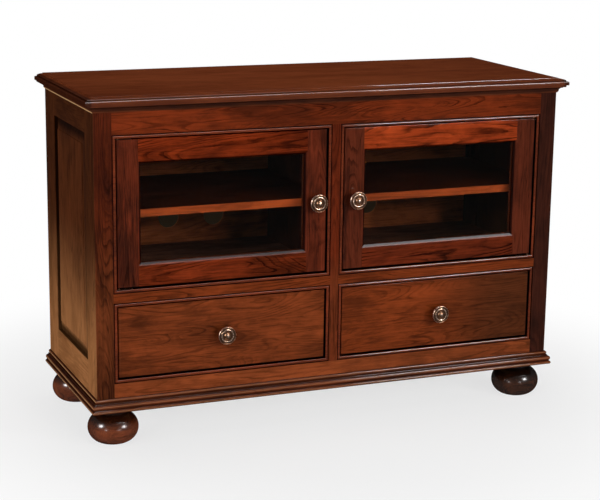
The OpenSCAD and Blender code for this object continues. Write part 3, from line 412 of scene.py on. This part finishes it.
# The sides take more, and the foot of the cove on the sides is painted pale tan, as painted highlight.
BASE_FRONT_WEAR_SHEEN, BASE_SIDE_WEAR_SHEEN, COVE_FRONT_WEAR_SHEEN, COVE_SIDE_WEAR_SHEEN = 1.35, 1.6, 1.0, 2.7
COVE_OUT, COVE_R, COVE_FILLET, COVE_FOOT = 0.012, 0.008, 0.002, 0.0025
COVE_FOOT_WEAR_SHEEN, COVE_HOLLOW_WEAR_SHEEN = 0.7, 0.15
CREST_WEAR_SHEEN, WORN_AND_HIGHLIT = 0.8, (236, 190, 134)
cove_mid = COVE_HIGH.z - COVE_FILLET - COVE_R
cove_edge = ([(0, COVE_HIGH.z), (COVE_OUT, COVE_HIGH.z)]
             + arc(COVE_OUT, cove_mid, COVE_R, COVE_R, 90, 180, 12)
             + [(COVE_OUT - COVE_R, cove_mid - COVE_FILLET), (COVE_FOOT, cove_mid - COVE_FILLET),
                (COVE_FOOT, COVE_LOW.z), (0, COVE_LOW.z)])
cove_wear_sheen = [COVE_FOOT_WEAR_SHEEN if z < cove_mid - COVE_FILLET / 2 else COVE_HOLLOW_WEAR_SHEEN for _, z in cove_edge]


def moulding(name, edge, wear_sheen, front_wear_sheen, side_wear_sheen):
    """Three mitred lengths round the front and the sides of the case, from an edge in (out, Z).
    The last two arguments scale how much lighter the crests are there: wear and painted highlight."""
    outline = [(-out, z) for out, z in edge]
    lengths = [settle(strip_length(name, outline, CASE_HALF - HAIRLINE, lambda y, z: -y,
                                   [share * front_wear_sheen for share in wear_sheen]),
                      Matrix.Translation((0, FRONT_Y, 0)))]
    side_half = (CASE_BACK - FRONT_Y) / 2
    for sign in (-1, 1):
        side = strip_length(name, outline, side_half, lambda y, z: 0, [share * side_wear_sheen for share in wear_sheen])
        for vertex in side.data.vertices:
            if vertex.co.x * sign < 0:
                vertex.co.x = -sign * (side_half - vertex.co.y)
        place = Matrix.Translation((sign * CASE_HALF, FRONT_Y + side_half, 0))
        lengths.append(settle(side, place @ Matrix.Rotation(math.radians(90 * sign), 4, "Z")))
    return join(name, lengths)


for name, edge, wear_sheen, front_wear_sheen, side_wear_sheen, coat, node in (
        ("base_beads", base_edge, base_wear_sheen, BASE_FRONT_WEAR_SHEEN, BASE_SIDE_WEAR_SHEEN, 0.4, "base_moulding"),
        ("cove", cove_edge, cove_wear_sheen, COVE_FRONT_WEAR_SHEEN, COVE_SIDE_WEAR_SHEEN, 0.5, "cove_moulding")):
    pieces = smooth(moulding(name, edge, wear_sheen, front_wear_sheen, side_wear_sheen))
    moulding_finish = cherry("cherry_" + name, "x", (80, 38, 20), (122, 60, 33), 9.0, lines=0.2, coat=coat,
                             gloss=0.04, worn_and_lit=(CREST_WEAR_SHEEN, WORN_AND_HIGHLIT))
    finish_piece(pieces, moulding_finish, "stained_wood", "case", node)

# Side frames. Stiles and rails of cherry with a raised panel between them, bevelled all round and
# free to move in its grooves. The stain is browner here. It is painted lighter low down and darker towards
# the top, as painted light, and dark in the recess round the panel and on the inner faces, as painted shade.

# Painted shade in the recess round the panel and on the inner faces of the frame.
FRAME_DEPTHS, PANEL_DEPTHS, RECESS_SHADE = (0.0025, 0.0006), (0.007, 0.0014), 0.2
frame_edges, panel_edges = ([("out", CASE_HALF - deep, CASE_HALF - flush, RECESS_SHADE, 1.0)]
                            for deep, flush in (FRAME_DEPTHS, PANEL_DEPTHS))
for name, grain, seed in (("side_stiles", "z", 10.0), ("side_rails", "y", 11.0)):
    dress(cherry("cherry_" + name, grain, *SIDE_LOW, seed, lines=0.2, fades=[((SIDE_RISE,), *SIDE_HIGH)],
                 shades=frame_edges), name)
dress(cherry("cherry_side_panels", "z", *SIDE_LOW, 12.0, lines=0.25,
             fades=[((SIDE_RISE,), (72, 35, 17), (108, 56, 27))], shades=panel_edges), "side_panels")

# Door frames. Stiles and rails of cherry 20 mm thick, mortised and tenoned, with a small bevel
# round the glass. The rails are cut from figured boards and take the stain bright and red.

LEAF_SET_BACK = 0.003
LEAF_Y = FRONT_Y + LEAF_SET_BACK
# Painted shade on the narrow sides of the fronts and along their bottom and right edges.
LEAF_SIDES, SIDES_SHADE = (0.0008, 0.003), 0.15
LEAF_RIM, RIM_SHADE = (0.0016, 0.003), 0.06


def leaf_gap_shade(*nodes):
    """Painted shade on the narrow sides of a door or drawer front, and in a rim along its bottom and
    right edges, where the gaps round it fall dark."""
    bottom = min(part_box(node)[0].z for node in nodes)
    right = max(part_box(node)[1].x for node in nodes)
    return [("y", LEAF_Y + LEAF_SIDES[0], LEAF_Y + LEAF_SIDES[1], 1.0, SIDES_SHADE),
            ("z", bottom + LEAF_RIM[0], bottom + LEAF_RIM[1], RIM_SHADE, 1.0),
            ("x", right - LEAF_RIM[0], right - LEAF_RIM[1], RIM_SHADE, 1.0)]


RAILS_RISE = ("z", 0.46, 0.64)
left_gap_shade = leaf_gap_shade("door_left_stiles", "door_left_rails")
right_gap_shade = leaf_gap_shade("door_right_stiles", "door_right_rails")
dress(cherry("cherry_door_left_stiles", "z", (52, 22, 13), (124, 51, 29), 13.0, lines=0.5,
             shades=left_gap_shade), "door_left_stiles")
dress(cherry("cherry_door_right_stiles", "z", (48, 21, 13), (108, 47, 28), 14.0, lines=0.5,
             shades=right_gap_shade), "door_right_stiles")
dress(cherry("cherry_door_left_rails", "x", (70, 26, 11), (142, 55, 25), 15.0, lines=0.65, coat=0.1,
             fades=[((RAILS_RISE,), (84, 29, 12), (160, 60, 25))], shades=left_gap_shade), "door_left_rails")
dress(cherry("cherry_door_right_rails", "x", (64, 22, 10), (128, 50, 24), 16.0, rings=30.0, lines=0.8,
             fades=[((RAILS_RISE,), (100, 33, 12), (196, 78, 34))], shades=right_gap_shade), "door_right_rails")
dress(cherry("cherry_glass_stops", "x", (60, 26, 14), (96, 42, 24), 17.0, lines=0.3),
      "door_left_glass_stops", "door_right_glass_stops")

# Glass. A plain clear pane 4 mm thick in each door, held in its rabbet by the stops behind it. Light
# from the lamps goes straight through it into the case, a little dimmed.

GLASS_TINT, GLASS_IOR, LAMPLIGHT_PASSED = (0.93, 0.96, 0.95, 1.0), 1.18, (0.8, 0.8, 0.8, 1.0)
clear = bpy.data.materials.new("clear_glass")
clear.use_nodes = True
tree = clear.node_tree
shader = tree.nodes["Principled BSDF"]
for key, value in (("Base Color", GLASS_TINT), ("Roughness", 0.0), ("IOR", GLASS_IOR),
                   ("Transmission Weight", 1.0)):
    shader.inputs[key].default_value = value
passing = put(tree, "BsdfTransparent", {"Color": LAMPLIGHT_PASSED})
pane = put(tree, "MixShader", {0: put(tree, "LightPath").outputs["Is Shadow Ray"], 1: shader.outputs[0],
                               2: passing.outputs[0]})
tree.links.new(pane.outputs[0], tree.nodes["Material Output"].inputs["Surface"])
dress(clear, "door_left_glass", "door_right_glass")

# Drawer fronts. Solid cherry 20 mm thick, plain sawn, so wide arches of grain run across them. Each
# is an applied front, fixed to the box behind it.

# Painted shade: the right drawer front darkens towards its right end.
RIGHT_FRONT_DARKENS = ("x", 0.2, 0.48)
dress(cherry("cherry_drawer_left", "x", (86, 39, 18), (152, 72, 35), 18.0, rings=44.0, lines=0.36,
             shades=leaf_gap_shade("drawer_left_front")), "drawer_left_front")
dress(cherry("cherry_drawer_right", "x", (88, 38, 16), (154, 69, 31), 19.0, rings=44.0, lines=0.36,
             fades=[((RIGHT_FRONT_DARKENS,), (54, 26, 12), (98, 49, 25))],
             shades=leaf_gap_shade("drawer_right_front")), "drawer_right_front")

# Bun feet. Turned from laminated cherry blocks: a full swelling on a small flat, a thin ring and a
# neck under the case. Each screws onto a stud in a corner block.

FOOT_LOW, FOOT_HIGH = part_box("bun_feet")
FOOT_H, FOOT_R, FOOT_ROUND, FOOT_FLAT = 0.088, 0.061, 0.037, 0.0015
FOOT_NECK_R, FOOT_NECK_H, FOOT_RING_R, FOOT_BEAD_R, WAIST_STEP = 0.04, 0.009, 0.037, 0.003, 0.001
# Painted shade: the feet on the right are darker, and each foot darkens towards its neck under the case.
FEET_DARKEN, NECK_SHADE_FROM, NECK_SHADE_TO, NECK_SHADE = ("x", -0.3, 0.5), 0.42, 0.72, 0.15


def turned(name, profile, spot, axis, steps=72):
    """A lathe turning: a profile in (radius, height), spun round an axis through spot."""
    deselect_all()
    bpy.ops.mesh.primitive_circle_add(vertices=len(profile), radius=0.01, fill_type="NOTHING")
    piece = bpy.context.object
    piece.name = piece.data.name = name
    for vertex, (radius, height) in zip(piece.data.vertices, profile):
        vertex.co = (radius, 0, height)
    bpy.ops.object.mode_set(mode="EDIT")
    bpy.ops.mesh.select_mode(type="EDGE")
    bpy.ops.mesh.select_all(action="DESELECT")
    edit = bmesh.from_edit_mesh(piece.data)
    for edge in edit.edges:
        edge.select = {vertex.index for vertex in edge.verts} == {0, len(profile) - 1}
    bmesh.update_edit_mesh(piece.data)
    bpy.ops.mesh.delete(type="EDGE")
    bpy.ops.mesh.select_all(action="SELECT")
    bpy.ops.mesh.spin(steps=steps, angle=math.tau, center=(0, 0, 0), axis=(0, 0, 1))
    bpy.ops.mesh.select_all(action="SELECT")
    bpy.ops.mesh.remove_doubles(threshold=0.00001)
    bpy.ops.mesh.select_all(action="SELECT")
    bpy.ops.mesh.normals_make_consistent(inside=False)
    bpy.ops.object.mode_set(mode="OBJECT")
    return settle(piece, Matrix.Translation(spot) @ axis)


foot_mid = FOOT_R - FOOT_ROUND
waist = FOOT_RING_R - FOOT_BEAD_R - WAIST_STEP
bead_z = FOOT_H - FOOT_NECK_H - FOOT_BEAD_R
foot_profile = [(0, 0)] + arc(
    foot_mid, FOOT_ROUND - FOOT_FLAT, FOOT_ROUND, FOOT_ROUND,
    -math.degrees(math.asin((FOOT_ROUND - FOOT_FLAT) / FOOT_ROUND)),
    math.degrees(math.acos((waist - foot_mid) / FOOT_ROUND)), 32)
foot_profile += [(waist, bead_z - FOOT_BEAD_R)]
foot_profile += arc(waist + WAIST_STEP, bead_z, FOOT_BEAD_R, FOOT_BEAD_R, -90, 90, 10)
foot_profile += [(FOOT_NECK_R, FOOT_H - FOOT_NECK_H), (FOOT_NECK_R, FOOT_H), (0, FOOT_H)]
foot_x = FOOT_HIGH.x - FOOT_R
feet = []
for x in (-foot_x, foot_x):
    for y in (FOOT_LOW.y + FOOT_R, FOOT_HIGH.y - FOOT_R):
        feet.append(turned("foot", foot_profile, (x, y, 0), Matrix.Identity(4)))
foot_finish = cherry("cherry_feet", "x", (80, 37, 18), (146, 72, 37), 20.0, lines=0.35, coat=1.0,
                     coat_grazing=0.08, gloss=0.22, fades=[((FEET_DARKEN,), (40, 21, 13), (84, 47, 29))],
                     shades=[("z", FOOT_H * NECK_SHADE_FROM, FOOT_H * NECK_SHADE_TO, 1.0, NECK_SHADE)])
finish_piece(smooth(join("feet_turned", feet)), foot_finish, "stained_wood", "case", "bun_feet")

# Knobs. Turned metal with an antique bronze finish, rubbed bright on the rim, on the crest of the
# ring and at the tip. Each is held by a screw from behind.

KNOB_R, KNOB_REACH = 0.022, 0.031
SPOT_SCALE, SPOTS, SPOT_ROUGHNESS = (400.0, 400.0), (0.4, 0.62), 0.08
RIM_FROM, RING_CREST, TIP_TO, HEAD_FROM, CREST_FROM = 0.94, (0.62, 0.7), 0.16, 0.72, 0.8
knob_shares = ([(0, 0), (0.4, 0), (0.4, 0.07)] + arc(0.4, 0.32, 0.125, 0.25, -90, -270, 16)
               + arc(0.925, 0.75, 0.075, 0.1, -60, 90, 12) + [(0.85, 0.8), (0.8, 0.73)]
               + arc(0.66, 0.785, 0.12, 0.08, 0, 180, 14) + [(0.48, 0.75)]
               + arc(0, 0.75, 0.42, 0.25, 0, 90, 14))
knob_profile = [(r * KNOB_R, reach * KNOB_REACH) for r, reach in knob_shares]


def bronze_finish(name, dark, light, roughness):
    """Bronze with a spotted patina between two colours."""
    material = bpy.data.materials.new(name)
    material.use_nodes = True
    tree = material.node_tree
    shader = tree.nodes["Principled BSDF"]
    spots = noise(tree, put(tree, "TexCoord").outputs["Object"], SPOT_SCALE, detail=3.0)
    patina = put(tree, "Mix", {0: span(tree, spots, *SPOTS), 6: linear(*dark), 7: linear(*light)},
                 data_type="RGBA").outputs[2]
    dulled = span(tree, spots, 0.3, 0.7, roughness, roughness + SPOT_ROUGHNESS)
    tree.links.new(patina, shader.inputs["Base Color"])
    tree.links.new(dulled, shader.inputs["Roughness"])
    shader.inputs["Metallic"].default_value = 1.0
    return material


bronze = bronze_finish("antique_bronze", (122, 90, 68), (158, 120, 94), 0.3)
rubbed_bronze = bronze_finish("rubbed_bronze", (216, 180, 156), (236, 206, 186), 0.24)
for body in ("door_left", "door_right", "drawer_left", "drawer_right"):
    node_name = body + "_knob"
    low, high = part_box(node_name)
    spot = ((low.x + high.x) / 2, high.y, (low.z + high.z) / 2)
    knob = turned(node_name + "_turned", knob_profile, spot, Matrix.Rotation(math.radians(90), 4, "X"))
    finish_piece(smooth(knob, 32), bronze, "bronze", body, node_name)
    knob.data.materials.append(rubbed_bronze)
    for face in knob.data.polygons:
        out = math.hypot(face.center.x - spot[0], face.center.z - spot[2]) / KNOB_R
        forward = (spot[1] - face.center.y) / KNOB_REACH
        on_crest = RING_CREST[0] < out < RING_CREST[1] and forward > CREST_FROM
        if forward > HEAD_FROM and (out > RIM_FROM or on_crest or out < TIP_TO):
            face.material_index = 1

# Inside of the case. Partition, decks, bottom, shelves and back, of cherry-faced plywood stained to
# match, and poplar cleats, blocks and spacers left in the white.

SHELF_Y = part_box("shelf_left")[0].y
# Painted shade on the shelf tops behind their front edge.
BEHIND_EDGE, SHELF_SHADE = (0.001, 0.004), 0.12
# The partition takes a darker copy of the plywood stain, as painted shade, and the back a lighter one, as
# painted light.
dress(cherry("ply_partition", "z", (44, 20, 12), (68, 32, 18), 21.0, lines=0.2, coat=0.1), "center_partition")
dress(cherry("ply_decks", "x", (80, 46, 32), (114, 68, 46), 22.0, lines=0.25, coat=0.2),
      "deck_panels", "bottom_panel")
dress(cherry("ply_back", "x", (108, 53, 27), (184, 98, 50), 23.0, lines=0.3, coat=0.1), "back_panel")
dress(cherry("ply_shelves", "x", (124, 52, 22), (174, 76, 32), 24.0, lines=0.3, coat=0.2,
             shades=[("y", SHELF_Y + BEHIND_EDGE[0], SHELF_Y + BEHIND_EDGE[1], 1.0, SHELF_SHADE)]),
      "shelf_left", "shelf_right")
poplar = cherry("poplar", "x", (150, 116, 76), (186, 152, 108), 25.0, lines=0.15, coat=0.05)
dress(poplar, "top_cleats", "corner_blocks", "slide_spacers")

# Drawer boxes. Maple sides and ends 12 mm thick, dovetailed at the corners, with a plywood bottom
# in a groove. Clear lacquer.

dress(cherry("maple_sides", "y", (172, 134, 88), (208, 172, 124), 26.0, lines=0.15, coat=0.15),
      "drawer_left_sides", "drawer_right_sides")
dress(cherry("maple_ends", "x", (168, 130, 86), (204, 168, 120), 27.0, lines=0.15, coat=0.15),
      "drawer_left_ends", "drawer_right_ends")
dress(cherry("ply_bottoms", "x", (186, 150, 104), (212, 180, 134), 28.0, lines=0.15, coat=0.1),
      "drawer_left_bottom", "drawer_right_bottom")

# Metal parts. Slides, shelf pins, studs, catches, strikes and screws of zinc-plated steel, rolled or
# turned, and hinge leaves with the same antique bronze finish as the knobs.

ROLLED_SCALE, ZINC_ROUGHNESS = (90.0, 400.0), (0.26, 0.42)
zinc = bpy.data.materials.new("zinc_plated_steel")
zinc.use_nodes = True
tree = zinc.node_tree
shader = tree.nodes["Principled BSDF"]
rolled = noise(tree, put(tree, "TexCoord").outputs["Object"], ROLLED_SCALE, detail=3.0)
plating = put(tree, "Mix", {0: rolled, 6: linear(150, 152, 155), 7: linear(196, 197, 198)}, data_type="RGBA")
tree.links.new(plating.outputs[2], shader.inputs["Base Color"])
tree.links.new(span(tree, rolled, 0.3, 0.7, *ZINC_ROUGHNESS), shader.inputs["Roughness"])
shader.inputs["Metallic"].default_value = 1.0
dress(zinc, "shelf_pins", "foot_studs", "door_catches", "slide_outer_members", "door_left_strike",
      "door_left_knob_screw", "door_right_strike", "door_right_knob_screw", "drawer_left_slides_inner",
      "drawer_left_slides_middle", "drawer_left_knob_screw", "drawer_right_slides_inner",
      "drawer_right_slides_middle", "drawer_right_knob_screw")
dress(bronze, "hinge_frame_leaves", "door_left_hinge_leaves", "door_right_hinge_leaves")

# Studio. A pale floor that keeps the shadow and looks white beyond it. Farther out the floor is dark
# brown, painted shade for the holes in the back of the case to look out on. Softboxes in a ring in front
# light the object, others are only mirrored in its lacquer. The camera stands as for the photograph: 22
# degrees to the left, 13 degrees down.

FLOOR_SIZE, FLOOR_DROP = 60.0, 0.0006
# Beyond the pale paper the floor is dark brown: painted shade, seen through the holes behind the case.
PAPER, FAR_PAPER, PAPER_ENDS = (0.8, 0.8, 0.8, 1.0), linear(60, 46, 30), (1.1, 1.8)
HOLES_SEE_DARK, SHADOW_ENDS, SHADOW_LIFT = (1.0, 1.4), (0.5, 1.3), 0.72
MIRRORED_WHITE, ROOM_LIGHT, ROOM_THROUGH_GLASS = 0.15, 0.12, 0.01
deselect_all()
bpy.ops.mesh.primitive_plane_add(size=FLOOR_SIZE, location=(0, 0, -FLOOR_DROP))
floor = bpy.context.object
floor.name = "studio_floor"
paper = bpy.data.materials.new("white_paper")
paper.use_nodes = True
tree = paper.node_tree
shader = tree.nodes["Principled BSDF"]
shader.inputs["Roughness"].default_value = 0.9
shader.inputs["Specular IOR Level"].default_value = 0.0


def background_rays(tree, through_share=1.0):
    """Whether a ray sees the white background, straight or through glass, and whether it mirrors
    it, be it in lacquer or in one of the two faces of a pane. Through glass it sees a share."""
    rays = put(tree, "LightPath").outputs
    clean = calc(tree, "LESS_THAN", rays["Diffuse Depth"], 0.5)
    mirrored = calc(tree, "MULTIPLY", clean, calc(tree, "GREATER_THAN", rays["Glossy Depth"], 0.5))
    through = calc(tree, "MULTIPLY", rays["Is Transmission Ray"], calc(tree, "SUBTRACT", clean, mirrored))
    straight = calc(tree, "MAXIMUM", rays["Is Camera Ray"], calc(tree, "MULTIPLY", through, through_share))
    return straight, mirrored


spot = put(tree, "TexCoord").outputs["Object"]
distance = put(tree, "VectorMath", {0: spot}, operation="LENGTH").outputs["Value"]
behind = span(tree, put(tree, "SeparateXYZ", {0: spot}).outputs[1], *HOLES_SEE_DARK, 1.0, 0.0)
straight, mirrored = background_rays(tree, behind)
ground = put(tree, "Mix", {0: span(tree, distance, *PAPER_ENDS), 6: PAPER, 7: FAR_PAPER}, data_type="RGBA")
tree.links.new(ground.outputs[2], shader.inputs["Base Color"])
dim = put(tree, "Emission", {"Color": (1, 1, 1, 1), "Strength": MIRRORED_WHITE})
white = put(tree, "Emission", {"Color": (1, 1, 1, 1), "Strength": 1.0})
far = put(tree, "MixShader", {0: mirrored, 1: shader.outputs[0], 2: dim.outputs[0]})
whiteness = calc(tree, "MULTIPLY", straight, span(tree, distance, *SHADOW_ENDS, SHADOW_LIFT, 1.0))
lit = put(tree, "MixShader", {0: whiteness, 1: far.outputs[0], 2: white.outputs[0]})
tree.links.new(lit.outputs[0], tree.nodes["Material Output"].inputs["Surface"])
floor.data.materials.append(paper)

world = bpy.data.worlds.new("studio")
bpy.context.scene.world = world
world.use_nodes = True
tree = world.node_tree
tree.nodes.clear()
straight, mirrored = background_rays(tree)
seen = calc(tree, "MAXIMUM", straight, calc(tree, "MULTIPLY", mirrored, MIRRORED_WHITE))
passed = put(tree, "LightPath").outputs["Is Transmission Ray"]
room_light = calc(tree, "MULTIPLY_ADD", passed, ROOM_THROUGH_GLASS - ROOM_LIGHT, ROOM_LIGHT)
room = put(tree, "Background", {"Color": (1, 1, 1, 1), "Strength": calc(tree, "MAXIMUM", seen, room_light)})
tree.links.new(room.outputs[0], put(tree, "OutputWorld").inputs["Surface"])


def softbox(name, spot, aim, wide, high, watts, spread=180, lights=True, mirrors=True):
    """A rectangular studio lamp; spread is the angle of the grid in front of it. It lights the
    object, or is mirrored in its lacquer, or both."""
    lamp = bpy.data.lights.new(name, "AREA")
    lamp.shape, lamp.size, lamp.size_y, lamp.energy = "RECTANGLE", wide, high, watts
    lamp.spread = math.radians(spread)
    holder = bpy.data.objects.new(name, lamp)
    bpy.context.scene.collection.objects.link(holder)
    holder.visible_diffuse, holder.visible_glossy, holder.visible_transmission = lights, mirrors, False
    turn = (Vector(aim) - Vector(spot)).to_track_quat("-Z", "Y")
    holder.matrix_world = Matrix.Translation(spot) @ turn.to_matrix().to_4x4()


# Each lamp's name, bearing from the front, height, aim along X, size, watts, spread, and whether it
# lights the object and is mirrored in it.
LAMP_DISTANCE, AIM_HEIGHT = 4.4, 0.45
LAMPS = (
    ("far_left", -77, 1.8, 0.0, 0.5, 37, 180, True, False),
    ("left", -51, 1.8, 0.0, 0.5, 35, 180, True, False),
    ("front", 5, 1.8, 0.0, 0.5, 34, 180, True, False),
    ("grid", 5, 1.8, -0.45, 0.5, 0.1, 11, True, False),
    ("right", 31, 1.8, 0.0, 0.5, 58, 180, True, False),
    ("low_left", -51, 0.6, 0.0, 0.3, 10, 180, False, True),
    ("low_front", 5, 0.6, 0.0, 0.3, 10, 180, False, True),
    ("high_left", -77, 2.0, 0.0, 0.9, 130, 180, False, True),
    ("high_right", 31, 2.0, 0.0, 0.9, 130, 180, False, True),
)
for name, bearing, height, aim_x, size, watts, spread, lights, mirrors in LAMPS:
    angle = math.radians(bearing)
    place = (LAMP_DISTANCE * math.sin(angle), -LAMP_DISTANCE * math.cos(angle), height)
    softbox("softbox_" + name, place, (aim_x, 0, AIM_HEIGHT), size, size, watts, spread, lights, mirrors)
softbox("softbox_above", (0, 0.2, 2.9), (0, 0.1, 0.8), 1.6, 0.8, 3.0, spread=60)
softbox("softbox_strip", (1.15, -1.6, 3.15), (1.15, -0.24, 0.8), 2.4, 0.4, 45, lights=False)

CAMERA_SPOT = (-1.584, -3.828, 1.362)
CAMERA_YAW, CAMERA_TILT, CAMERA_ROLL, LENS_MM, SENSOR_MM = 0.3918, 0.2307, 0.0137, 100.0, 36.0
camera = bpy.data.objects.new("camera", bpy.data.cameras.new("camera"))
bpy.context.scene.collection.objects.link(camera)
camera.data.sensor_width, camera.data.lens = SENSOR_MM, LENS_MM
camera.data.sensor_fit = "HORIZONTAL"
ahead = Vector((math.sin(CAMERA_YAW) * math.cos(CAMERA_TILT),
                math.cos(CAMERA_YAW) * math.cos(CAMERA_TILT), -math.sin(CAMERA_TILT)))
right = Vector((math.cos(CAMERA_YAW), -math.sin(CAMERA_YAW), 0))
up = right.cross(ahead)
turn = Matrix((right, up, -ahead)).transposed().to_4x4()
camera.matrix_world = Matrix.Translation(CAMERA_SPOT) @ turn @ Matrix.Rotation(CAMERA_ROLL, 4, "Z")
bpy.context.scene.camera = camera
bpy.context.scene.view_settings.view_transform = "Standard"
